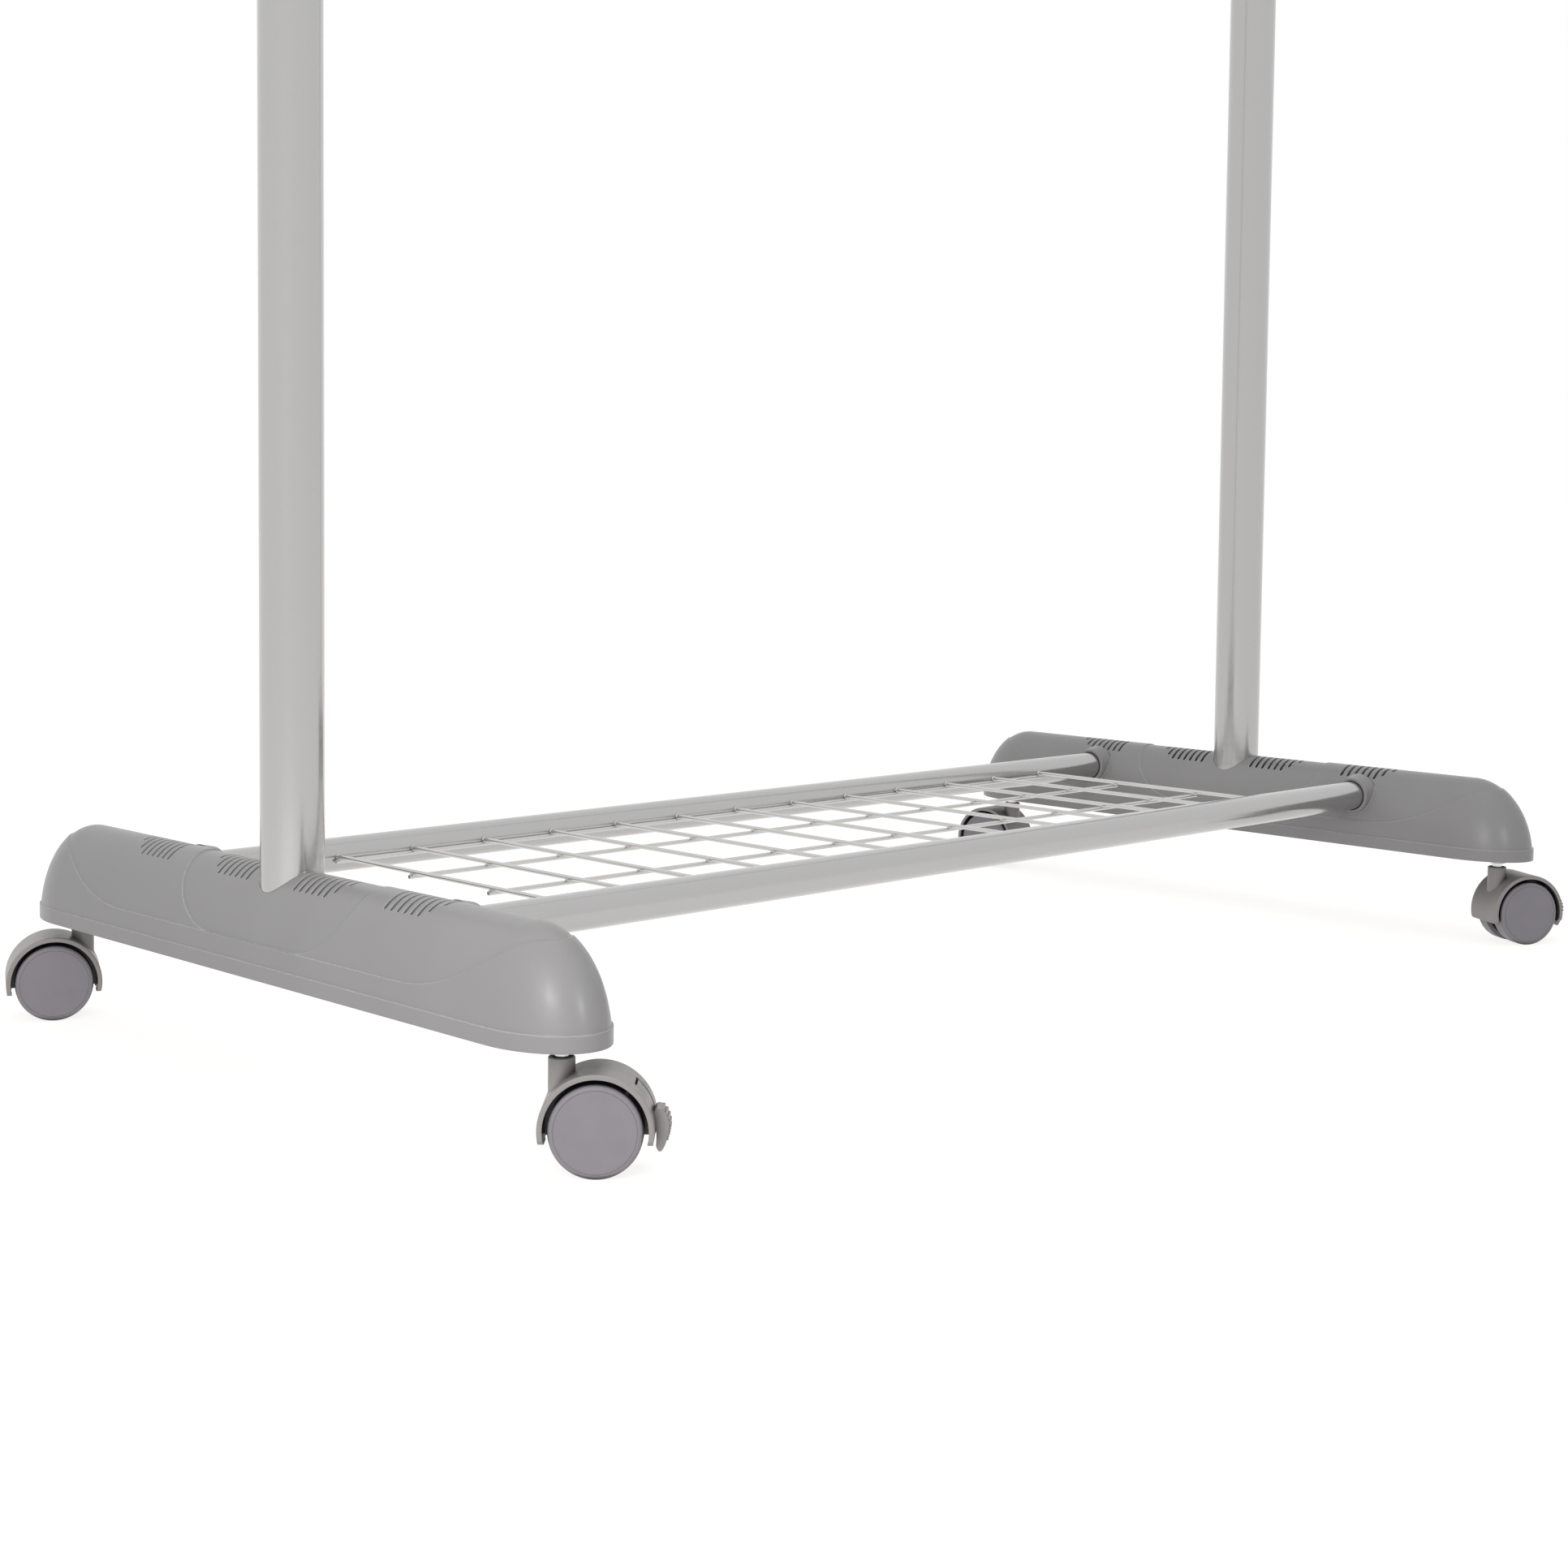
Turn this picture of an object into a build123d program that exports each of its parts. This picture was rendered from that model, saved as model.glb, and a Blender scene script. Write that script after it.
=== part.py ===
from build123d import *
from math import cos, radians, sin
import os

# Rolling clothes rack. X runs along the rails, Y along the feet (front is -Y), Z is up.
# The origin is on the floor, midway between the four casters.

# overall layout
foot_spacing = 960.0        # between the centre lines of the two feet
foot_x = foot_spacing / 2
rail_y = 136.0              # side rails, in front of and behind the uprights
rail_z = 109.0

# foot shell: a half-ellipse section run along the foot, closed by two domes
shell_bottom = 68.0
shell_half_width = 33.0
shell_height = 62.8
foot_half_length = 279.5
dome_length = 50.0          # how far each rounded end reaches beyond the straight run
crown_flat = 0.4
band_half_width = 33.6
band_height = 9.2
middle_recess = 0.8         # the zone between the end sweep and the centre saddle
centre_recess = 1.6         # the saddle around the upright
relief_line_z = 88.5        # where both recessed zones start above the skirt
shell_wall = 3.5
upright_hole_radius = 19.15
screw_boss_y = (85.0, 200.0)
screw_boss_radius = 4.5

# end sweep and centre saddle, as seen from the side of the foot
sweep_start_y = 148.0
sweep_radius = 130.0
sweep_angle = 29.5
sweep_straight = 26.0
sweep_top_radius = 36.0
saddle_start_y = 44.0
saddle_radius = 50.0
saddle_angle = 84.0

# ventilation slots over the crown
slot_pitch = 6.2
slot_width = 2.7
slot_half_length = 16.0
slot_count = 6
short_slots = (13.0, 7.0)   # half lengths of the last two slots of each group
slot_group_y = (25.3, 115.8)

# collars where the rails enter the shell
collar_face = 31.6          # distance of the collar's face from the foot's centre line
collar_face_radius = 14.2
collar_root_radius = 17.0
collar_root = 20.0
collar_bore_radius = 12.1

# steel channel inside each foot
channel_half_length = 254.0
channel_half_width = 20.0
channel_top = 97.0
channel_leg_bottom = 73.0
channel_wall = 2.0

# tubes
rail_radius = 11.5
rail_wall = 1.2
rail_half_length = 484.0
upright_radius = 19.0
upright_wall = 1.5
upright_top = 930.0
inner_radius = 16.0
inner_wall = 1.2
inner_bottom = 480.0
inner_top = 1400.0
hanger_radius = 14.0
hanger_wall = 1.5
hanger_z = 1418.0
hanger_half_length = 538.0

# wire shelf
wire_radius = 1.5
cross_wire_pitch = 60.5
cross_wire_count = 13
cross_wire_z = 109.6
long_wire_y = (41.1, 123.1)
long_wire_overhang = 3.0
weld_gap = 0.02

# casters
caster_y = 252.0
caster_trail = 19.0         # from the swivel axis to the wheel axle
wheel_radius = 25.0
wheel_width = 12.1
wheel_gap = 6.2             # from the caster's mid plane to each wheel's inner face
wheel_hub_face = 3.8        # the hub reaches further in than the rim
hood_radius = 30.6
hood_bay_radius = 27.7
hood_half_width = 18.0
hood_web_half = 3.0
hood_core_radius = 19.0
hood_lip_drop = 7.2         # how far the hood's ends reach below the axle
hood_corner_radius = 3.5
stem_radius = 4.0
stem_bottom = 50.5
stem_top = 92.0
stem_flange_top = 65.6
stem_flange_radius = 7.4
grip_z = 86.0                # the stem's groove and its grip ring
boss_radius = 7.2
boss_top = 61.0
axle_radius = 3.0
running_gap = 0.05

# brake lever, on the two front casters
lever_half_width = 6.3
lever_clearance = 1.3       # slit in the hood along each side of the tongue
lever_pin_radius = 1.0
lever_pin_distance = 28.2
lever_pin_angle = 43.0
rib_radius = 1.0            # grip ribs down the pedal's outer edge, placed from the axle
rib_places = ((34.2, 9.3), (35.9, 7.3), (37.0, 5.0), (37.6, 2.4), (37.7, -0.3), (37.2, -3.0), (36.5, -5.6))

# clamps and top fittings
collar_z = (900.0, 962.0)
clamp_screw_z = 947.0
knob_inner = 32.5
knob_outer = 50.0
fitting_radius = 19.0
fitting_bottom = 1350.0
fitting_screw_z = 1374.0
screw_hole_radius = 2.05    # through a tube's wall

# where each caster stands, which way its wheels trail at rest, and whether it has a brake
casters = {
    "front_left": (-foot_x, -caster_y, -44.5, True),
    "back_left": (-foot_x, caster_y, 154.0, False),
    "front_right": (foot_x, -caster_y, -28.7, True),
    "back_right": (foot_x, caster_y, 95.5, False),
}


def save(name, *pieces):
    """Write the pieces of one node as one STEP file."""
    solids = [solid for piece in pieces for solid in piece.solids()]
    export_step(Compound(solids), f"parts/{name}.step")


def rod(radius, low, high):
    """An upright cylinder between two heights."""
    return Pos(0, 0, low) * Cylinder(radius, high - low, align=(Align.CENTER, Align.CENTER, Align.MIN))


def rod_x(radius, low, high):
    """A cylinder along X between two stations."""
    return Rot(0, 90, 0) * rod(radius, low, high)


def rod_y(radius, low, high):
    """A cylinder along Y between two stations."""
    return Rot(-90, 0, 0) * rod(radius, low, high)


def tube(radius, wall, low, high):
    """An upright round tube."""
    return rod(radius, low, high) - rod(radius - wall, low - 1, high + 1)


def turned(points):
    """A solid of revolution about Z from (radius, height) points."""
    return revolve(Plane.XZ * make_face(Polyline(*points, close=True)), Axis.Z, 360)


def screw(head_radius, head_height, shank_radius, length):
    """A pan-head screw pointing up, its head's bearing face at the origin."""
    head = rod(head_radius, -head_height, 0)
    head = fillet(head.edges().sort_by(Axis.Z)[0], head_height * 0.45)
    drive = Pos(0, 0, -head_height) * (Box(head_radius, 0.9, 2.0) + Box(0.9, head_radius, 2.0))
    return head + rod(shank_radius, 0, length) - drive


# ---- foot shell ----------------------------------------------------------------------------


def foot_form(inset):
    """The foot's solid form, set in by a distance: an elliptical vault, long domes, a slight flat on the crown."""
    width, height = shell_half_width - inset, shell_height - inset
    run = foot_half_length - dome_length
    arch = EllipticalCenterArc((crown_flat, 0), width - crown_flat, height, start_angle=0, arc_size=90)
    rest = Polyline((crown_flat, height), (0, height), (0, 0), (width, 0))
    half = Plane.XZ * make_face([arch, rest])
    vault = extrude(half + mirror(half, Plane.YZ), amount=run, both=True)
    dome = Pos(0, run, 0) * scale(revolve(half, Axis.Z, 180), by=(1, (dome_length - inset) / width, 1))
    return Pos(0, 0, shell_bottom) * (vault + dome + mirror(dome, Plane.XZ))


def band_plan():
    """The outline of the band around the skirt."""
    run, proud = foot_half_length - dome_length, band_half_width - shell_half_width
    end = EllipticalCenterArc((0, run), band_half_width, dome_length + proud, start_angle=0, arc_size=180)
    side = Line((band_half_width, 0), (band_half_width, run))
    half = make_face([Line((-band_half_width, run), (-band_half_width, 0)), end, side,
                      Line((-band_half_width, 0), (band_half_width, 0))])
    return half + mirror(half, Plane.XZ)


def side_prism(outline):
    """Both halves of a zone drawn on the side of the foot, carried right across it."""
    half = extrude(Plane.YZ * make_face(outline), amount=60, both=True)
    return half + mirror(half, Plane.XZ)


def sweep_zone():
    """Everything above the line that runs along the skirt and climbs over each end."""
    base = Line((0, relief_line_z), (sweep_start_y, relief_line_z))
    climb = JernArc(base @ 1, base % 1, sweep_radius, sweep_angle)
    slope = Line(climb @ 1, climb @ 1 + (climb % 1) * sweep_straight)
    crest = JernArc(slope @ 1, slope % 1, sweep_top_radius, -sweep_angle)
    rest = Polyline(crest @ 1, (300, (crest @ 1).Y), (300, 160), (0, 160), (0, relief_line_z))
    return side_prism([base, climb, slope, crest, rest])


def saddle_zone():
    """The area around the upright, bounded by a line that curls up to the crown."""
    base = Line((0, relief_line_z), (saddle_start_y, relief_line_z))
    curl = JernArc(base @ 1, base % 1, saddle_radius, saddle_angle)
    rest = Polyline(curl @ 1, ((curl @ 1).X, 160), (0, 160), (0, relief_line_z))
    return side_prism([base, curl, rest])


def vent_slots():
    """Four groups of slots across the crown, each getting shorter away from the upright."""
    lengths = [slot_half_length] * slot_count + list(short_slots)
    cuts = []
    for start in slot_group_y:
        for index, half_length in enumerate(lengths):
            cut = extrude(SlotOverall(2 * half_length, slot_width), amount=40)
            for side in (-1, 1):
                cuts.append(Pos(0, side * (start + index * slot_pitch), 112) * cut)
    return cuts


def rail_collars():
    """Tapered collars on the inner side of the foot, which faces +X."""
    cone = Cone(collar_root_radius, collar_face_radius, collar_face - collar_root)
    cone = fillet(cone.edges().sort_by(Axis.Z)[-1], 1.2)
    cone = Rot(0, 90, 0) * Pos(0, 0, (collar_root + collar_face) / 2) * cone
    return [Pos(0, side * rail_y, rail_z) * cone for side in (-1, 1)]


def screw_boss_places():
    """Where the shell is screwed down to the channel."""
    return [Pos(0, side * y, 0) for y in screw_boss_y for side in (-1, 1)]


def cavity_around_bosses():
    """The hollow of the shell, left solid where the screw bosses hang from the crown."""
    cavity = foot_form(shell_wall)
    for place in screw_boss_places():
        cavity -= place * rod(screw_boss_radius, channel_top, 160)
    return cavity


def foot_shell():
    """The moulded cover of one foot, with its inner side towards +X."""
    band = Pos(0, 0, shell_bottom) * extrude(band_plan(), amount=band_height)
    shell = foot_form(0) - (sweep_zone() - foot_form(middle_recess)) - (saddle_zone() - foot_form(centre_recess))
    shell += band
    for collar in rail_collars():
        shell += collar
    shell -= cavity_around_bosses()
    for place in screw_boss_places():
        shell -= place * rod(1.6, channel_top - 1, channel_top + 14)
    shell -= rod(upright_hole_radius, channel_top, 160)
    for side in (-1, 1):
        shell -= Pos(0, side * rail_y, rail_z) * rod_x(collar_bore_radius, 8, 40)
    for cut in vent_slots():
        shell -= cut
    return shell


# ---- inside the foot ---------------------------------------------------------------------


def foot_channel():
    """An inverted steel channel that carries the upright, the rails and the casters."""
    depth = channel_top - channel_leg_bottom
    body = Pos(0, 0, channel_leg_bottom) * Box(2 * channel_half_width, 2 * channel_half_length, depth,
                                               align=(Align.CENTER, Align.CENTER, Align.MIN))
    body = fillet(body.edges().filter_by(Axis.Y).sort_by(Axis.Z)[-2:], 3)
    inside = Pos(0, 0, channel_leg_bottom - 1) * Box(
        2 * (channel_half_width - channel_wall), 2 * channel_half_length + 2, depth + 1 - channel_wall,
        align=(Align.CENTER, Align.CENTER, Align.MIN))
    body -= inside
    for x, y, radius in web_holes():
        body -= Pos(x, y, 0) * rod(radius, channel_top - 5, channel_top + 1)
    return body


def web_holes():
    """Holes in the channel's web: bolt, shell screws, block screws and rail screws."""
    holes = [(0, 0, 4.3)]
    for side in (-1, 1):
        holes += [(0, side * y, 2.0) for y in screw_boss_y]
        holes += [(0, side * (caster_y - 13), 2.2), (8, side * rail_y, 2.2)]
    return holes


def socket_block():
    """The moulded block in a channel end that grips a caster stem, on the +Y side."""
    low, high = channel_leg_bottom - 4, channel_top - channel_wall
    width = 2 * (channel_half_width - channel_wall) - 0.2
    block = Pos(0, caster_y - 5, low) * Box(width, 24, high - low,
                                            align=(Align.CENTER, Align.CENTER, Align.MIN))
    block = fillet(block.edges().filter_by(Axis.Z), 2)
    block += Pos(0, caster_y, 0) * rod(stem_flange_radius + 0.3, stem_flange_top, low)
    block -= Pos(0, caster_y, 0) * rod(stem_radius + 0.03, 60, stem_top + 0.5)
    block -= Pos(0, caster_y, 0) * rod(stem_radius + 0.7, grip_z - 1.2, grip_z + 1.2)
    return block - Pos(0, caster_y - 13, 0) * rod(1.52, high - 16, high + 1)


def caster_stem():
    """Plated steel stem with a flange and a groove for its grip ring."""
    under = stem_flange_top - 1.2
    neck_radius, groove_radius = 5.0, 3.2
    return turned([(0, stem_bottom), (stem_radius, stem_bottom), (stem_radius, under - 1), (neck_radius, under - 1),
                   (neck_radius, under), (stem_flange_radius - 0.4, under), (stem_flange_radius, under + 0.4),
                   (stem_flange_radius, stem_flange_top), (stem_radius, stem_flange_top),
                   (stem_radius, grip_z - 0.8), (groove_radius, grip_z - 0.8), (groove_radius, grip_z + 0.8),
                   (stem_radius, grip_z + 0.8), (stem_radius, stem_top - 1), (3, stem_top), (0, stem_top)])


def grip_ring():
    """Sprung steel ring that holds the stem in its block."""
    ring = rod(4.5, grip_z - 0.7, grip_z + 0.7) - rod(3.25, grip_z - 1, grip_z + 1)
    return ring - Pos(4, 0, grip_z) * Box(3, 1.5, 3)


# ---- tubes and shelf ------------------------------------------------------------------------


def side_rail():
    """A shelf rail with a screw hole in the underside of each end."""
    rail = rod_x(rail_radius, -rail_half_length, rail_half_length)
    rail -= rod_x(rail_radius - rail_wall, -rail_half_length - 1, rail_half_length + 1)
    for side in (-1, 1):
        rail -= Pos(side * (foot_x - 8), 0, 0) * rod(screw_hole_radius, -rail_radius - 1, 0)
    return Pos(0, 0, rail_z) * rail


def cross_wires():
    """The wires between the two rails, evenly spaced."""
    reach = rail_y - rail_radius - weld_gap
    first = -cross_wire_pitch * (cross_wire_count - 1) / 2
    wire = rod_y(wire_radius, -reach, reach)
    return [Pos(first + i * cross_wire_pitch, 0, cross_wire_z) * wire for i in range(cross_wire_count)]


def long_wires():
    """The wires along the shelf, welded under the cross wires."""
    reach = cross_wire_pitch * (cross_wire_count - 1) / 2 + long_wire_overhang
    wire = fillet(rod_x(wire_radius, -reach, reach).edges().filter_by(GeomType.CIRCLE), 0.5)
    z = cross_wire_z - 2 * wire_radius - weld_gap
    return [Pos(0, side * y, z) * wire for y in long_wire_y for side in (-1, 1)]


def upright_plug():
    """Threaded plug pressed into the foot of an upright."""
    return rod(upright_radius - upright_wall - 0.02, channel_top + 0.1, 122) - rod(4.02, channel_top, 118)


def inner_upright():
    """The sliding tube, with a screw hole near its top."""
    return (tube(inner_radius, inner_wall, inner_bottom, inner_top)
            - Pos(0, 0, fitting_screw_z) * rod_y(screw_hole_radius, 0, inner_radius + 1))


# ---- clamp -------------------------------------------------------------------------------


def clamp_collar():
    """Moulded collar on top of the outer tube, its screw boss towards +X."""
    low, high = collar_z
    shell = fillet(rod(24, low, high).edges().filter_by(GeomType.CIRCLE), 4)
    shell += Pos(0, 0, clamp_screw_z) * fillet(rod_x(11, 15, 30.5).edges().sort_by(Axis.X)[-1], 1.5)
    shell -= rod(upright_radius + 0.05, low - 1, upright_top + 0.2)
    shell -= rod(inner_radius + 0.1, low, high + 1)
    return shell - Pos(0, 0, clamp_screw_z) * rod_x(4.08, 12, 40)


def guide_sleeve():
    """Slippery sleeve between the two tubes, inside the top of the outer one."""
    return tube(upright_radius - upright_wall - 0.05, 1.35, 860, upright_top)


def clamp_stud():
    """Threaded stud that presses on the sliding tube."""
    return Pos(0, 0, clamp_screw_z) * rod_x(4.0, inner_radius + 0.3, knob_outer - 4)


def clamp_knob():
    """Five-lobed hand knob around the stud's outer end."""
    body = rod(13, knob_inner + 4, knob_outer)
    for lobe in range(5):
        body += Rot(0, 0, 72 * lobe) * Pos(12, 0, 0) * rod(6, knob_inner + 4, knob_outer)
    body &= turned([(0, knob_inner + 4), (18.5, knob_inner + 4), (18.5, knob_outer - 3), (16, knob_outer),
                    (0, knob_outer)])
    body += rod(9, knob_inner, knob_inner + 6)
    body -= rod(4.0, knob_inner - 1, knob_outer - 4)
    return Pos(0, 0, clamp_screw_z) * Rot(0, 90, 0) * body


# ---- top of the rack ----------------------------------------------------------------------


def top_fitting():
    """Moulded tee that joins a sliding tube to the hanging rail."""
    upright = fillet(rod(fitting_radius, fitting_bottom, hanger_z).edges().sort_by(Axis.Z)[0], 1.5)
    cross = fillet(rod_x(fitting_radius, -32, 32).edges().filter_by(GeomType.CIRCLE), 1.5)
    tee = upright + Pos(0, 0, hanger_z) * cross
    tee -= rod(inner_radius + 0.02, fitting_bottom - 1, inner_top + 0.2)
    tee -= Pos(0, 0, hanger_z) * rod_x(hanger_radius + 0.02, -40, 40)
    tee -= Pos(0, 0, fitting_screw_z) * rod_y(screw_hole_radius, 0, 30)
    return tee - Pos(0, 0, hanger_z) * rod_y(screw_hole_radius, 0, 30)


def fitting_screw(z):
    """A screw from the back of the fitting into a tube."""
    return Pos(0, fitting_radius + 0.05, z) * Rot(90, 0, 0) * screw(3.6, 2.4, 2.0, 8)


def hanging_rail():
    """The rail that carries the clothes."""
    rail = rod_x(hanger_radius, -hanger_half_length, hanger_half_length)
    rail -= rod_x(hanger_radius - hanger_wall, -hanger_half_length - 1, hanger_half_length + 1)
    for side in (-1, 1):
        rail -= Pos(side * foot_x, 0, 0) * rod_y(screw_hole_radius, 0, hanger_radius + 1)
    return Pos(0, 0, hanger_z) * rail


def rail_cap():
    """Domed end cap with a plug that fills the rail's end."""
    cap = rod(15.5, 0, 9)
    cap = fillet(cap.edges().sort_by(Axis.Z)[-1], 6)
    return cap + tube(hanger_radius - hanger_wall - 0.02, 2, -16, 0)


def bottom_bush():
    """Plug that centres the foot of the sliding tube inside the outer one."""
    bush = rod(upright_radius - upright_wall - 0.1, inner_bottom - 6, inner_bottom)
    bush += rod(inner_radius - inner_wall - 0.02, inner_bottom, inner_bottom + 24)
    return bush - rod(11, inner_bottom - 7, inner_bottom + 25)


# ---- caster ------------------------------------------------------------------------------
# Built with the swivel axis on Z, trailing towards +X, with the axle along Y.

to_axle = Pos(caster_trail, 0, wheel_radius)


def polar(radius, angle):
    """A point in the wheel's plane, from its centre."""
    return (radius * cos(radians(angle)), radius * sin(radians(angle)))


def ring_sector(inner, outer, start, end, half_width):
    """A piece of a ring about the axle between two angles above the trailing side."""
    wedge = make_face(Polyline((0, 0), polar(60, start), polar(60, (start + end) / 2), polar(60, end), close=True))
    wedge = extrude(Plane.XZ * wedge, amount=half_width, both=True)
    return (rod_y(outer, -half_width, half_width) - rod_y(inner, -half_width - 1, half_width + 1)) & wedge


def lever_pin_place():
    """The brake pin's centre in the wheel's plane."""
    x, z = polar(lever_pin_distance, lever_pin_angle)
    return Pos(x, 0, z)


def caster_hood(has_brake):
    """The moulded fork and fender, with a boss for the stem."""
    drum = rod_y(hood_radius, -hood_half_width, hood_half_width)
    drum = to_axle * fillet(drum.edges().filter_by(GeomType.CIRCLE), 0.9)
    boss = fillet(rod(boss_radius, wheel_radius, boss_top).edges().sort_by(Axis.Z)[-1], 0.8)
    hood = drum + boss
    for side in (-1, 1):
        near, far = sorted((side * hood_web_half, side * (hood_half_width + 2)))
        hood -= to_axle * rod_y(hood_bay_radius, near, far)
    skirt = Plane.YZ * RectangleRounded(2 * hood_half_width + 0.02, 80, hood_corner_radius)
    hood &= Pos(caster_trail, 0, wheel_radius - hood_lip_drop + 40) * extrude(skirt, amount=60, both=True)
    hood -= Pos(caster_trail, 0, wheel_radius - 30) * Box(2 * hood_bay_radius - 0.4, 2 * hood_web_half + 2, 51)
    hood += to_axle * rod_y(hood_core_radius, -hood_web_half, hood_web_half)
    if has_brake:
        hood -= to_axle * ring_sector(27.2, 45, -40, 50, lever_half_width + lever_clearance)
        for side in (-1, 1):
            near, far = sorted((side * (lever_half_width + 0.4), side * 9.5))
            hood += to_axle * lever_pin_place() * rod_y(2.3, near, far)
        hood -= to_axle * lever_pin_place() * rod_y(lever_pin_radius + 0.01, -9.2, 9.2)
        hood -= to_axle * lever_pin_place() * rod_y(2.8, -lever_half_width - 0.4, lever_half_width + 0.4)
    hood -= to_axle * rod_y(axle_radius + 0.01, -5, 5)
    hood -= rod(stem_radius + running_gap, stem_bottom - 0.3, boss_top + 1)
    return hood - turned([(0, boss_top - 3), (4.6, boss_top - 3), (5.9, boss_top + 0.1), (0, boss_top + 0.1)])


def caster_wheel():
    """A disc wheel with a rolled rim, on the +Y side; its axle hole is blind."""
    inner, outer = wheel_gap, wheel_gap + wheel_width
    bore = axle_radius + running_gap
    wheel = turned([(bore, wheel_hub_face), (7, wheel_hub_face), (7, outer - 4), (20.5, outer - 4), (21.5, inner),
                    (wheel_radius, inner), (wheel_radius, outer), (0, outer), (0, outer - 1.6), (bore, outer - 1.6)])
    rims = wheel.edges().filter_by(GeomType.CIRCLE).filter_by(lambda e: e.radius > wheel_radius - 0.1)
    wheel = fillet(rims.sort_by(Axis.Z)[-1], 2.6)
    wheel -= rod(22.2, outer - 0.15, outer + 1) - rod(21.8, outer - 1, outer + 2)
    return Rot(-90, 0, 0) * wheel


def brake_lever():
    """Ribbed pedal on a tongue that lies flush with the hood, hinged on its pin."""
    tongue = ring_sector(28.0, 30.4, 0, 47, lever_half_width)
    knuckle = lever_pin_place() * rod_y(2.2, -lever_half_width, lever_half_width)
    outline = make_face(Spline((29.8, 8.8), (32.0, 10.4), (35.0, 8.6), (37.2, 4.6), (37.7, 0.0), (36.6, -5.5),
                               (34.6, -11.0), (33.0, -12.4), (31.5, -11.2), (31.0, -7.0), (30.9, -2.0), (29.8, 3.0),
                               (28.6, 6.0), periodic=True))
    pedal = extrude(Plane.XZ * outline, amount=lever_half_width + 0.4, both=True)
    lever = tongue + knuckle + pedal
    for x, z in rib_places:
        lever += Pos(x, 0, z) * rod_y(rib_radius, -lever_half_width, lever_half_width)
    return lever - lever_pin_place() * rod_y(lever_pin_radius + running_gap, -20, 20)


def write_caster(name, x, y, heading, has_brake):
    """Write every piece of one caster in its place under the rack."""
    place = Pos(x, y, 0) * Rot(0, 0, heading)
    save(f"caster_stem_{name}", place * caster_stem())
    save(f"caster_hood_{name}", place * caster_hood(has_brake))
    save(f"caster_axle_{name}", place * to_axle * rod_y(axle_radius, -16, 16))
    wheel = to_axle * caster_wheel()
    save(f"caster_wheel_outer_{name}", place * wheel)
    save(f"caster_wheel_inner_{name}", place * mirror(wheel, Plane.XZ))
    if has_brake:
        save(f"brake_lever_{name}", place * to_axle * brake_lever())
        save(f"brake_pin_{name}", place * to_axle * lever_pin_place() * rod_y(lever_pin_radius, -9, 9))


def write_side(name, side):
    """Write the foot and the post of one side; side is -1 for left and 1 for right."""
    place = Pos(side * foot_x, 0, 0) * Rot(0, 0, 0 if side < 0 else 180)
    outward = Pos(side * foot_x, 0, 0) * Rot(0, 0, 180 if side < 0 else 0)
    block = socket_block()
    save(f"foot_shell_{name}", place * foot_shell())
    save(f"foot_channel_{name}", place * foot_channel())
    save(f"caster_socket_blocks_{name}", place * block, place * mirror(block, Plane.XZ))
    save(f"outer_upright_{name}", place * tube(upright_radius, upright_wall, channel_top + 0.1, upright_top))
    save(f"guide_sleeve_{name}", place * guide_sleeve())
    save(f"clamp_collar_{name}", outward * clamp_collar())
    save(f"clamp_stud_{name}", outward * clamp_stud())
    save(f"clamp_knob_{name}", outward * clamp_knob())
    save(f"inner_upright_{name}", Pos(side * foot_x, 0, 0) * inner_upright())
    save(f"top_fitting_{name}", Pos(side * foot_x, 0, 0) * top_fitting())


def on_both_feet(piece, spots):
    """Copies of a piece at the given (x towards the middle, y) spots of both feet."""
    return [Pos(side * (foot_x - x), y, 0) * piece for side in (-1, 1) for x, y in spots]


def write_shared():
    """Write the rails, the shelf, the hanging rail and the groups of like fasteners."""
    under_web = channel_top - channel_wall
    both = [side * y for y in screw_boss_y for side in (-1, 1)]
    save("upright_plugs", *on_both_feet(upright_plug(), [(0, 0)]))
    save("upright_bolts", *on_both_feet(Pos(0, 0, under_web) * screw(6.5, 5.0, 3.98, 22), [(0, 0)]))
    save("shell_screws", *on_both_feet(Pos(0, 0, under_web) * screw(3.6, 2.4, 1.58, 14), [(0, y) for y in both]))
    save("rail_screws", *on_both_feet(Pos(0, 0, under_web) * screw(3.8, 2.6, 2.0, 8),
                                      [(8, -rail_y), (8, rail_y)]))
    block_screw = Pos(0, 0, channel_top) * Rot(180, 0, 0) * screw(3.8, 2.4, 1.5, 14)
    save("socket_screws", *on_both_feet(block_screw, [(0, 13 - caster_y), (0, caster_y - 13)]))
    save("stem_grip_rings", *on_both_feet(grip_ring(), [(0, -caster_y), (0, caster_y)]))
    save("front_rail", Pos(0, -rail_y, 0) * side_rail())
    save("back_rail", Pos(0, rail_y, 0) * side_rail())
    save("shelf_cross_wires", *cross_wires())
    save("shelf_long_wires", *long_wires())
    save("inner_tube_bushes", *on_both_feet(bottom_bush(), [(0, 0)]))
    save("fitting_screws", *on_both_feet(fitting_screw(fitting_screw_z), [(0, 0)]),
         *on_both_feet(fitting_screw(hanger_z), [(0, 0)]))
    save("hanging_rail", hanging_rail())
    cap = Pos(hanger_half_length, 0, hanger_z) * Rot(0, 90, 0) * rail_cap()
    save("hanging_rail_caps", cap, mirror(cap, Plane.YZ))


os.makedirs("parts", exist_ok=True)
for side_name, side_sign in (("left", -1), ("right", 1)):
    write_side(side_name, side_sign)
for caster_name, caster_place in casters.items():
    write_caster(caster_name, *caster_place)
write_shared()
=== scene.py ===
import math
import bmesh
import bpy
from mathutils import Matrix, Vector, noise


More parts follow.
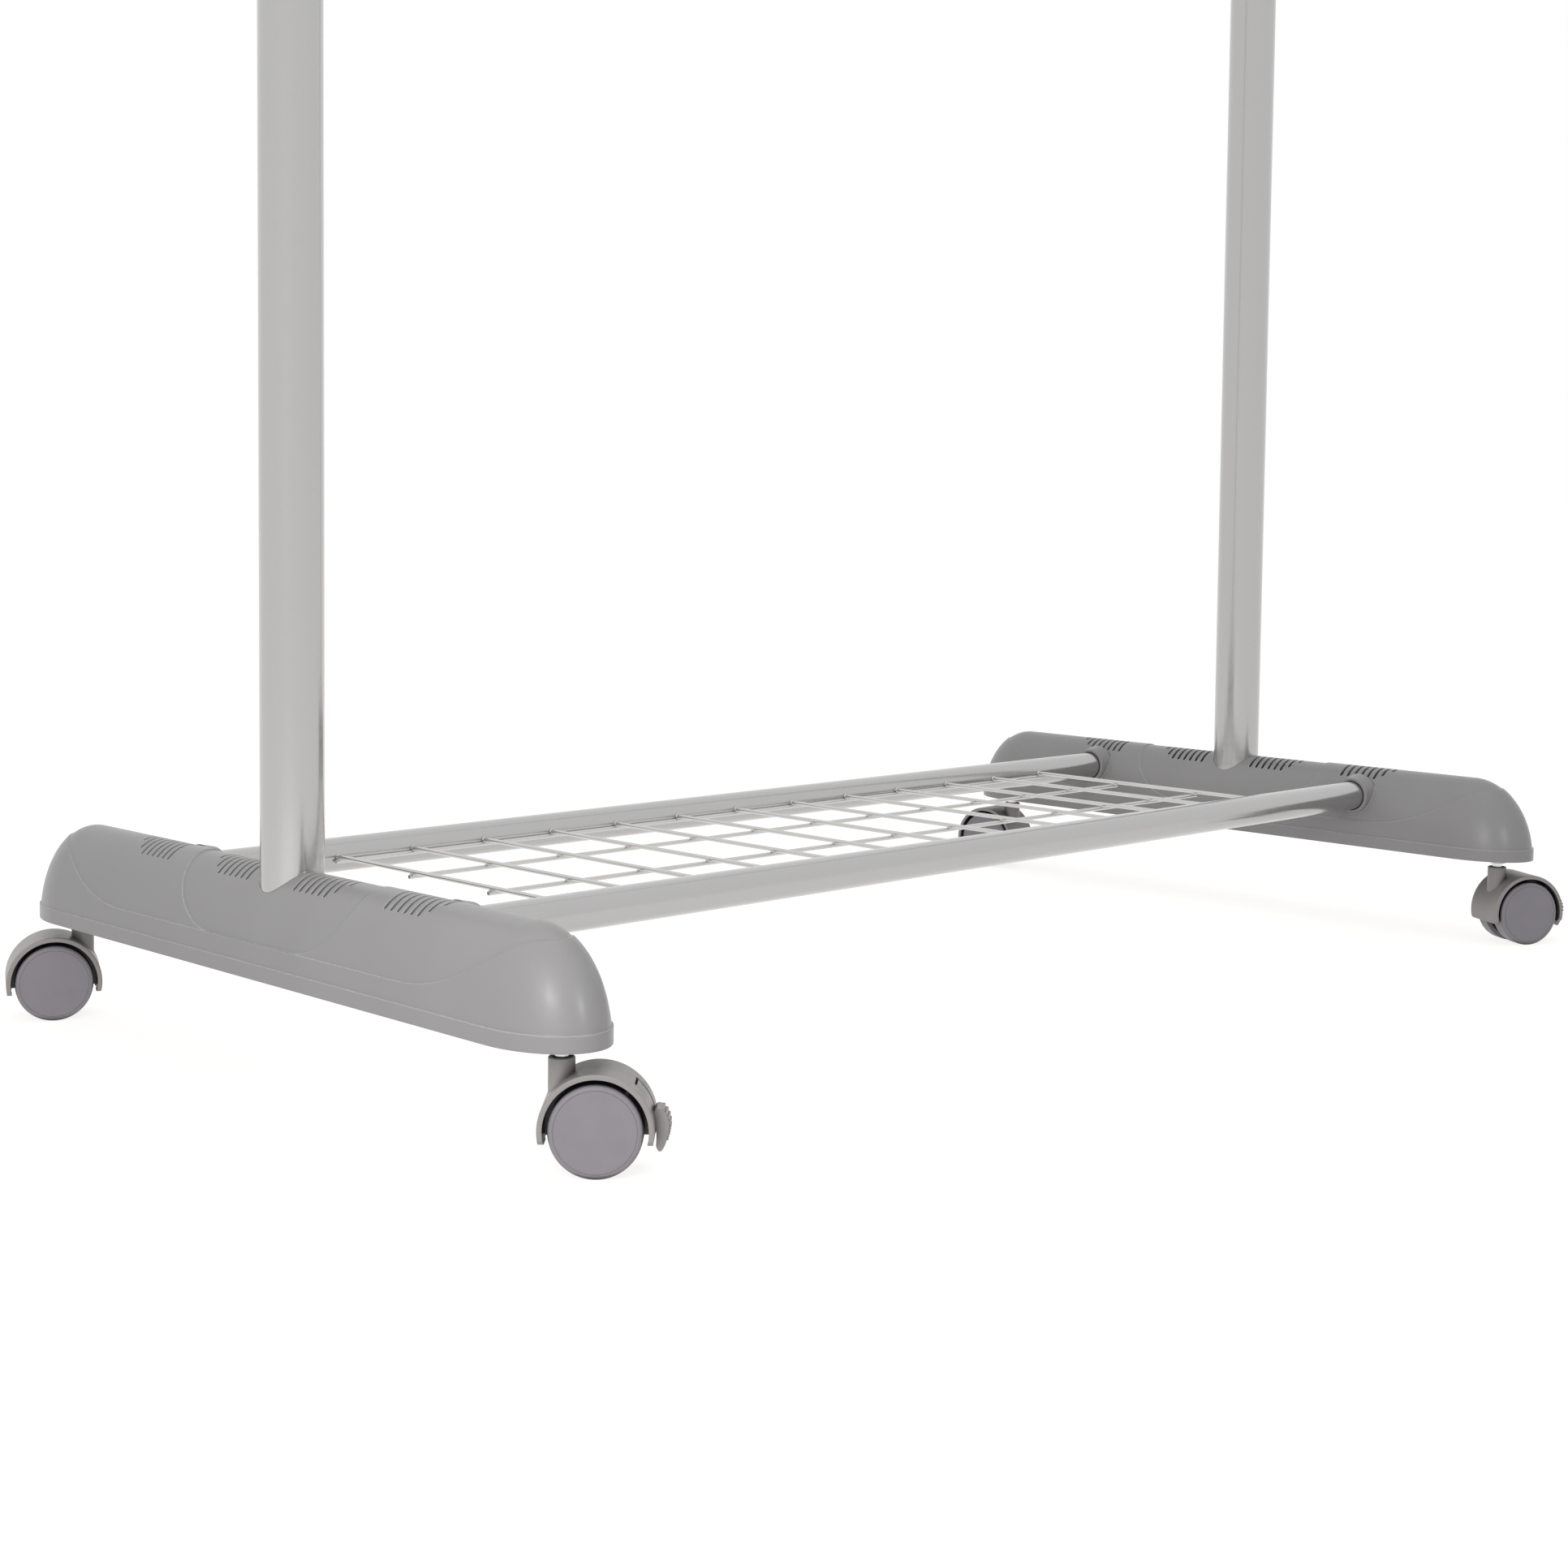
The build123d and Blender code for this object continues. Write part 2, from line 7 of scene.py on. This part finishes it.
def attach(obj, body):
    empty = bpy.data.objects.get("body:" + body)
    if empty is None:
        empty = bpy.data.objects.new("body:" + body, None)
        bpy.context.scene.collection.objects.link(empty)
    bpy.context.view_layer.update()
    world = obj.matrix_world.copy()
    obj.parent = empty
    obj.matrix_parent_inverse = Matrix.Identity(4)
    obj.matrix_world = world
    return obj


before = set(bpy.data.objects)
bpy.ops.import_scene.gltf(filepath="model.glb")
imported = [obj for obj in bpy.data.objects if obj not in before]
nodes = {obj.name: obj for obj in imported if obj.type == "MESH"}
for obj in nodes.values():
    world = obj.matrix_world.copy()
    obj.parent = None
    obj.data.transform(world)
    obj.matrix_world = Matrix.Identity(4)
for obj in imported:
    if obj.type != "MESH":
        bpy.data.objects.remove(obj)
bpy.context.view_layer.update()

# ---- Foot channels --------------------------------------------------------------------------
# A folded channel of cold-rolled steel runs inside each foot and carries everything else.
# It comes off the press oiled and unpainted, with faint drawing lines along its length.

sides = ("left", "right")


def shader(name):
    """A new material with its node tree, its main shader and its place in the piece's own metres."""
    material = bpy.data.materials.new(name)
    material.use_nodes = True
    tree = material.node_tree
    place = tree.nodes.new("ShaderNodeTexCoord").outputs["Object"]
    return material, tree, tree.nodes["Principled BSDF"], place


def stretched(tree, place, per_metre):
    """The piece's metres scaled to texture steps, one rate for each axis."""
    mapping = tree.nodes.new("ShaderNodeMapping")
    mapping.inputs["Scale"].default_value = per_metre
    tree.links.new(place, mapping.inputs["Vector"])
    return mapping.outputs["Vector"]


def grain(tree, place, per_metre, detail=3.0, rough=0.5):
    """Cloudy noise from 0 to 1, with so many lumps to the metre, alike or for each axis."""
    cloud = tree.nodes.new("ShaderNodeTexNoise")
    cloud.inputs["Scale"].default_value = 1.0
    cloud.inputs["Detail"].default_value = detail
    cloud.inputs["Roughness"].default_value = rough
    steps = (per_metre,) * 3 if isinstance(per_metre, (int, float)) else per_metre
    tree.links.new(stretched(tree, place, steps), cloud.inputs["Vector"])
    return cloud.outputs["Fac"]


def spread(tree, value, low, high):
    """Noise, which keeps near a half, opened out to run from low to high."""
    span = tree.nodes.new("ShaderNodeMapRange")
    span.inputs["From Min"].default_value = 0.3
    span.inputs["From Max"].default_value = 0.7
    span.inputs["To Min"].default_value = low
    span.inputs["To Max"].default_value = high
    tree.links.new(value, span.inputs["Value"])
    return span.outputs["Result"]


def between(tree, value, first, second):
    """A colour between two, by a value from 0 to 1."""
    mix = tree.nodes.new("ShaderNodeMix")
    mix.data_type = "RGBA"
    mix.inputs["A"].default_value = (*first, 1)
    mix.inputs["B"].default_value = (*second, 1)
    tree.links.new(value, mix.inputs["Factor"])
    return mix.outputs["Result"]


def raised(tree, bsdf, height, depth):
    """Fine relief of the given depth in metres, laid over any relief that is there already."""
    bump = tree.nodes.new("ShaderNodeBump")
    bump.inputs["Strength"].default_value = 1.0
    bump.inputs["Distance"].default_value = depth
    tree.links.new(height, bump.inputs["Height"])
    if bsdf.inputs["Normal"].links:
        tree.links.new(bsdf.inputs["Normal"].links[0].from_socket, bump.inputs["Normal"])
    tree.links.new(bump.outputs["Normal"], bsdf.inputs["Normal"])


def rolled_steel():
    """Bare cold-rolled sheet with drawing lines and a few darker stains."""
    material, tree, bsdf, place = shader("rolled_steel")
    bsdf.inputs["Metallic"].default_value = 1.0
    lines = grain(tree, place, (900, 12, 900), detail=4)
    stains = spread(tree, grain(tree, place, 25), 0, 1)
    tree.links.new(between(tree, stains, (0.40, 0.395, 0.39), (0.27, 0.265, 0.26)), bsdf.inputs["Base Color"])
    tree.links.new(spread(tree, lines, 0.36, 0.52), bsdf.inputs["Roughness"])
    raised(tree, bsdf, lines, 0.00002)
    return material


def finished(material, *names):
    """Give CAD nodes their finish."""
    for name in names:
        slots = nodes[name].data.materials
        slots.clear()
        slots.append(material)


steel = rolled_steel()
finished(steel, *[f"foot_channel_{side}" for side in sides])

# ---- Plugs, bolts and screws ----------------------------------------------------------------
# Turned plugs are pressed into the posts. Zinc-plated bolts and screws hold posts, rails, shells
# and caster blocks to the channels, and sprung rings grip the caster stems.


def bright_zinc():
    """Clear zinc plate: bright and a little blue, cloudy where it was handled."""
    material, tree, bsdf, place = shader("bright_zinc")
    bsdf.inputs["Metallic"].default_value = 1.0
    clouds = spread(tree, grain(tree, place, 160), 0, 1)
    tree.links.new(between(tree, clouds, (0.74, 0.76, 0.80), (0.62, 0.63, 0.64)), bsdf.inputs["Base Color"])
    tree.links.new(spread(tree, grain(tree, place, 700), 0.17, 0.26), bsdf.inputs["Roughness"])
    raised(tree, bsdf, grain(tree, place, 1500), 0.00001)
    return material


zinc = bright_zinc()
finished(steel, "upright_plugs")
finished(zinc, "upright_bolts", "shell_screws", "rail_screws", "socket_screws", "stem_grip_rings")

# ---- Caster sockets -------------------------------------------------------------------------
# A black nylon block is pushed into each channel end and screwed through the web.
# Its round mouth shows as a thin black rim above the stem's flange.


def black_nylon():
    """Moulded black nylon with a fine matt grain."""
    material, tree, bsdf, place = shader("black_nylon")
    speckle = grain(tree, place, 1800)
    soot, worn = (0.022, 0.022, 0.024), (0.05, 0.05, 0.053)
    tree.links.new(between(tree, speckle, soot, worn), bsdf.inputs["Base Color"])
    tree.links.new(spread(tree, grain(tree, place, 300), 0.42, 0.6), bsdf.inputs["Roughness"])
    raised(tree, bsdf, speckle, 0.00004)
    return material


nylon = black_nylon()
finished(nylon, *[f"caster_socket_blocks_{side}" for side in sides])

# ---- Posts and side rails -------------------------------------------------------------------
# Welded steel tube, powder-coated silver. The coat has fine metal flakes under a smooth skin
# with the slight orange peel that powder leaves as it flows.


def silver_powder_coat(name, flakes_per_metre, silver, silver_shade):
    """Silver powder coat: the flakes differ a little in tone, and the skin has soft waves."""
    material, tree, bsdf, place = shader(name)
    bsdf.inputs["Metallic"].default_value = 0.9
    bsdf.inputs["Coat Weight"].default_value = 0.25
    bsdf.inputs["Coat Roughness"].default_value = 0.08
    flakes = tree.nodes.new("ShaderNodeTexVoronoi")
    flakes.inputs["Scale"].default_value = flakes_per_metre
    tree.links.new(place, flakes.inputs["Vector"])
    tree.links.new(between(tree, flakes.outputs["Distance"], silver, silver_shade), bsdf.inputs["Base Color"])
    tree.links.new(spread(tree, grain(tree, place, 220), 0.17, 0.22), bsdf.inputs["Roughness"])
    raised(tree, bsdf, grain(tree, place, 450, detail=1), 0.000006)
    return material


tube_silver, tube_shade = (0.46, 0.455, 0.452), (0.42, 0.415, 0.413)
tube_coat = silver_powder_coat("silver_powder_coat", 2600, tube_silver, tube_shade)
finished(tube_coat, "front_rail", "back_rail", *[f"outer_upright_{side}" for side in sides])

# ---- Wire shelf -----------------------------------------------------------------------------
# Drawn 3 mm wires: the cross wires are welded to the rails, and the long wires are
# resistance-welded under them, before the whole frame is powder-coated. Every joint keeps a bead.

cross_wire_count = 13
cross_wire_pitch = 0.0605
cross_wire_z = 0.1096
long_wire_y = (-0.1231, -0.0411, 0.0411, 0.1231)
wire_radius = 0.0015
rail_bead_y = 0.1242        # just off the rail's face
crossing_bead = (0.0021, 0.0021, 0.0010)
rail_bead = (0.0023, 0.0012, 0.0023)
bead_unevenness = 0.12

wire_silver, wire_shade = (0.58, 0.575, 0.57), (0.52, 0.515, 0.51)
wire_coat = silver_powder_coat("wire_powder_coat", 3200, wire_silver, wire_shade)
finished(wire_coat, "shelf_cross_wires", "shelf_long_wires")


def add_bead(shape, centre, size):
    """A small uneven bead of weld metal, softened by the powder coat."""
    lump_rate, differ = 1.3, 900
    for vert in bmesh.ops.create_icosphere(shape, subdivisions=2, radius=1.0)["verts"]:
        lumps = 1.0 + bead_unevenness * noise.noise(vert.co * lump_rate + Vector(centre) * differ)
        vert.co = Vector(centre) + Matrix.Diagonal(size) @ (vert.co * lumps)


weld_shape = bmesh.new()
for index in range(cross_wire_count):
    wire_x = (index - (cross_wire_count - 1) / 2) * cross_wire_pitch
    for wire_y in long_wire_y:
        add_bead(weld_shape, (wire_x, wire_y, cross_wire_z - wire_radius), crossing_bead)
    for side in (-1, 1):
        add_bead(weld_shape, (wire_x, side * rail_bead_y, cross_wire_z), rail_bead)
weld_mesh = bpy.data.meshes.new("shelf_welds")
weld_shape.to_mesh(weld_mesh)
weld_shape.free()
weld_mesh.shade_smooth()
weld_mesh.materials.append(wire_coat)
welds = bpy.data.objects.new("shelf_welds", weld_mesh)
bpy.context.scene.collection.objects.link(welds)
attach(welds, "base")

# ---- Foot shells ----------------------------------------------------------------------------
# One long warm-grey moulding covers each foot, and screws from below hold it down on the channel.
# It has a spark-eroded satin skin, faintly cloudy, with its moulded edges shaded as if rounded and given a
# painted highlight.


def soft_edges(tree, bsdf, radius, edge_highlight):
    """Moulded edges are never sharp: shade them as if rounded, and lighten their colour where the edge turns,
    as a painted highlight.
    """
    bevel = tree.nodes.new("ShaderNodeBevel")
    bevel.samples = 12
    bevel.inputs["Radius"].default_value = radius
    colour = bsdf.inputs["Base Color"].links[0].from_socket
    tree.links.new(bevel.outputs["Normal"], bsdf.inputs["Normal"])
    facing = tree.nodes.new("ShaderNodeVectorMath")
    facing.operation = "DOT_PRODUCT"
    tree.links.new(bevel.outputs["Normal"], facing.inputs[0])
    tree.links.new(tree.nodes.new("ShaderNodeNewGeometry").outputs["True Normal"], facing.inputs[1])
    edge = tree.nodes.new("ShaderNodeMapRange")
    barely_turned, well_turned = 0.90, 0.75
    edge.inputs["From Min"].default_value = barely_turned
    edge.inputs["From Max"].default_value = well_turned
    tree.links.new(facing.outputs["Value"], edge.inputs["Value"])
    # The lighter colour on turned edges is a painted highlight.
    mix = tree.nodes.new("ShaderNodeMix")
    mix.data_type = "RGBA"
    mix.inputs["B"].default_value = (*edge_highlight, 1)
    tree.links.new(colour, mix.inputs["A"])
    tree.links.new(edge.outputs["Result"], mix.inputs["Factor"])
    tree.links.new(mix.outputs["Result"], bsdf.inputs["Base Color"])


def painted_gap_shade(tree, bsdf, reach, darkest):
    """Painted shade in narrow gaps: the colour darkens where surfaces crowd in within a reach."""
    colour = bsdf.inputs["Base Color"].links[0].from_socket
    crowd = tree.nodes.new("ShaderNodeAmbientOcclusion")
    crowd.samples = 12
    crowd.inputs["Distance"].default_value = reach
    span = tree.nodes.new("ShaderNodeMapRange")
    crowded, open_air = 0.25, 0.8
    span.inputs["From Min"].default_value = crowded
    span.inputs["From Max"].default_value = open_air
    span.inputs["To Min"].default_value = darkest
    tree.links.new(crowd.outputs["AO"], span.inputs["Value"])
    # Multiply the colour by the occlusion: painted shade in the gaps.
    shade = tree.nodes.new("ShaderNodeMix")
    shade.data_type = "RGBA"
    shade.blend_type = "MULTIPLY"
    shade.inputs["Factor"].default_value = 1.0
    tree.links.new(colour, shade.inputs["A"])
    tree.links.new(span.outputs["Result"], shade.inputs["B"])
    tree.links.new(shade.outputs["Result"], bsdf.inputs["Base Color"])


def foot_plastic():
    """Satin grey plastic with a very fine grain and soft cloudiness."""
    material, tree, bsdf, place = shader("foot_plastic")
    clouds = spread(tree, grain(tree, place, (14, 14, 5), detail=2), 0, 1)
    pale, deep = (0.146, 0.143, 0.144), (0.138, 0.135, 0.136)
    tree.links.new(between(tree, clouds, pale, deep), bsdf.inputs["Base Color"])
    tree.links.new(spread(tree, grain(tree, place, 90), 0.285, 0.33), bsdf.inputs["Roughness"])
    # Edges are shaded as if rounded and lightened as a painted highlight.
    soft_edges(tree, bsdf, 0.0012, (0.31, 0.305, 0.305))
    raised(tree, bsdf, grain(tree, place, 2200, detail=2), 0.00002)
    return material


shell_skin = foot_plastic()
finished(shell_skin, *[f"foot_shell_{side}" for side in sides])

# ---- Caster stems and axles -----------------------------------------------------------------
# Plated steel pins: the stem grips in the socket and the hood turns about it, and the wheels
# are snapped onto the ends of the axle.

corners = ("front_left", "back_left", "front_right", "back_right")
finished(zinc, *[f"caster_stem_{corner}" for corner in corners])
finished(zinc, *[f"caster_axle_{corner}" for corner in corners])

# ---- Caster hoods ---------------------------------------------------------------------------
# Each hood is a warm grey moulding: fender, centre web and stem boss in one piece. It turns about the stem
# and holds the axle. Its narrow gaps around the wheels are darkened with painted shade, and its edges get a
# painted highlight.


def hood_plastic():
    """Warm grey hood moulding, a little duller than the feet."""
    material, tree, bsdf, place = shader("hood_plastic")
    clouds = spread(tree, grain(tree, place, 60), 0, 1)
    pale, deep = (0.168, 0.159, 0.155), (0.157, 0.149, 0.145)
    tree.links.new(between(tree, clouds, pale, deep), bsdf.inputs["Base Color"])
    tree.links.new(spread(tree, grain(tree, place, 240), 0.32, 0.38), bsdf.inputs["Roughness"])
    # Painted highlight on the edges and painted shade in the narrow gaps.
    soft_edges(tree, bsdf, 0.0006, (0.24, 0.235, 0.23))
    painted_gap_shade(tree, bsdf, 0.009, 0.08)
    raised(tree, bsdf, grain(tree, place, 2600, detail=2), 0.00002)
    return material


hood_skin = hood_plastic()
finished(hood_skin, *[f"caster_hood_{corner}" for corner in corners])

# ---- Wheels ---------------------------------------------------------------------------------
# Twin nylon wheels in a cooler, slightly violet grey. Each is a moulded disc with a rounded rim and
# a fine ring on its face, and it turns on its own side of the axle.


def wheel_plastic():
    """Cool grey nylon with fine scuffs."""
    material, tree, bsdf, place = shader("wheel_plastic")
    clouds = spread(tree, grain(tree, place, 70), 0, 1)
    pale, deep = (0.136, 0.128, 0.142), (0.126, 0.119, 0.132)
    tree.links.new(between(tree, clouds, pale, deep), bsdf.inputs["Base Color"])
    tree.links.new(spread(tree, grain(tree, place, 400), 0.36, 0.46), bsdf.inputs["Roughness"])
    # Painted highlight on the edges and painted shade in the narrow gaps.
    soft_edges(tree, bsdf, 0.0006, (0.17, 0.16, 0.18))
    painted_gap_shade(tree, bsdf, 0.007, 0.08)
    raised(tree, bsdf, grain(tree, place, 2400, detail=2), 0.00002)
    return material


wheel_skin = wheel_plastic()
for which in ("outer", "inner"):
    finished(wheel_skin, *[f"caster_wheel_{which}_{corner}" for corner in corners])

# ---- Brakes ---------------------------------------------------------------------------------
# The two front casters have a ribbed pedal on a tongue, moulded in the hood's grey plastic.
# It is hinged on a small steel pin.

finished(hood_skin, "brake_lever_front_left", "brake_lever_front_right")
finished(zinc, "brake_pin_front_left", "brake_pin_front_right")

# ---- Height clamps --------------------------------------------------------------------------
# A grey collar caps each outer tube. Its threaded stud and black knob press on the sliding
# tube, which runs in a sleeve of natural nylon.


def natural_nylon():
    """Uncoloured nylon, milky and slightly see-through."""
    material, tree, bsdf, place = shader("natural_nylon")
    clouds = grain(tree, place, 120)
    tree.links.new(between(tree, clouds, (0.72, 0.71, 0.66), (0.66, 0.65, 0.60)), bsdf.inputs["Base Color"])
    bsdf.inputs["Roughness"].default_value = 0.38
    bsdf.inputs["Subsurface Weight"].default_value = 0.3
    bsdf.inputs["Subsurface Scale"].default_value = 0.003
    raised(tree, bsdf, grain(tree, place, 900), 0.00002)
    return material


finished(shell_skin, *[f"clamp_collar_{side}" for side in sides])
finished(natural_nylon(), *[f"guide_sleeve_{side}" for side in sides])
finished(zinc, *[f"clamp_stud_{side}" for side in sides])
finished(nylon, *[f"clamp_knob_{side}" for side in sides])

# ---- Sliding tubes and hanging rail ---------------------------------------------------------
# The sliding tubes, the hanging rail and its fittings form the top that moves up and down.
# The tubes are coated like the posts, and the tees and caps are moulded like the feet.

finished(tube_coat, "hanging_rail", *[f"inner_upright_{side}" for side in sides])
finished(shell_skin, "hanging_rail_caps", *[f"top_fitting_{side}" for side in sides])
finished(nylon, "inner_tube_bushes")
finished(zinc, "fitting_screws")

# ---- Floor ----------------------------------------------------------------------------------
# A pale floor sheet, lit from below so that it glows softly, as in a light tent.
# Most of its brightness is its own glow, so shadows on it stay faint.

floor_mesh = bpy.data.meshes.new("floor")
reach = 14.0
floor_mesh.from_pydata([(-reach, -reach, 0), (reach, -reach, 0), (reach, reach, 0), (-reach, reach, 0)],
                       [], [(0, 1, 2, 3)])
floor = bpy.data.objects.new("floor", floor_mesh)
bpy.context.scene.collection.objects.link(floor)
floor_sheet, _, floor_shader, _ = shader("floor_sheet")
floor_shader.inputs["Base Color"].default_value = (0.17, 0.17, 0.17, 1)
floor_shader.inputs["Roughness"].default_value = 0.9
floor_shader.inputs["Specular IOR Level"].default_value = 0.0
floor_shader.inputs["Emission Color"].default_value = (1.0, 0.985, 0.97, 1)
floor_shader.inputs["Emission Strength"].default_value = 0.86
floor_mesh.materials.append(floor_sheet)

# ---- Lights ---------------------------------------------------------------------------------
# White walls all round, a softbox overhead and another in front of the left foot. Neither is
# mirrored in the tubes. Two small strips shine on the foot shells alone, for their highlights.

world = bpy.data.worlds.new("light_tent")
bpy.context.scene.world = world
world.use_nodes = True
sky = world.node_tree.nodes["Background"]
sky.inputs["Color"].default_value = (1.0, 1.0, 1.0, 1)
sky.inputs["Strength"].default_value = 1.0


def softbox(name, target, direction, distance, width, height, power):
    """A rectangular area light that looks at its target from a direction, at a distance."""
    data = bpy.data.lights.new(name, "AREA")
    data.shape = "RECTANGLE"
    data.size = width
    data.size_y = height
    data.energy = power
    lamp = bpy.data.objects.new(name, data)
    away = Vector(direction).normalized()
    lamp.location = Vector(target) + distance * away
    lamp.rotation_euler = away.to_track_quat("Z", "Y").to_euler()
    bpy.context.scene.collection.objects.link(lamp)
    return lamp


left_dome = (-0.48, -0.25, 0.10)
key = softbox("key_softbox", left_dome, (-0.80, -0.44, 0.40), 0.9, 0.7, 0.7, 12.0)
overhead = softbox("top_softbox", (0.0, 0.0, 0.1), (-0.05, -0.02, 1.0), 1.9, 1.4, 1.4, 14.0)
for broad in (key, overhead):
    broad.visible_glossy = False
left_strip = softbox("left_strip", left_dome, (-0.805, -0.437, 0.40), 1.3, 0.10, 0.10, 2.2)
front_strip = softbox("front_strip", left_dome, (0.10, -0.935, 0.34), 1.3, 0.09, 0.10, 1.6)
shells = bpy.data.collections.new("shells_lit_by_strips")
for side in sides:
    shells.objects.link(nodes[f"foot_shell_{side}"])
for strip in (left_strip, front_strip):
    strip.light_linking.receiver_collection = shells

# ---- Camera ---------------------------------------------------------------------------------
# It stands low and close to the left foot, and looks along the shelf towards the right one.
# The lens is shifted down so that the camera itself stays nearly level.

standpoint = (-1.280377, -1.227661, 0.362187)
heading, dip, tilt = math.radians(-44.533), math.radians(3.776), math.radians(0.618)
camera_data = bpy.data.cameras.new("camera")
camera_data.sensor_width = 36.0
camera_data.lens = 56.01
camera_data.shift_y = -0.0911
camera_data.clip_start = 0.05
camera_data.clip_end = 60.0
camera = bpy.data.objects.new("camera", camera_data)
bpy.context.scene.collection.objects.link(camera)
turn = Matrix.Rotation(heading, 4, "Z") @ Matrix.Rotation(math.pi / 2 - dip, 4, "X")
camera.matrix_world = Matrix.Translation(standpoint) @ turn @ Matrix.Rotation(tilt, 4, "Z")
bpy.context.scene.camera = camera
bpy.context.scene.view_settings.view_transform = "Standard"
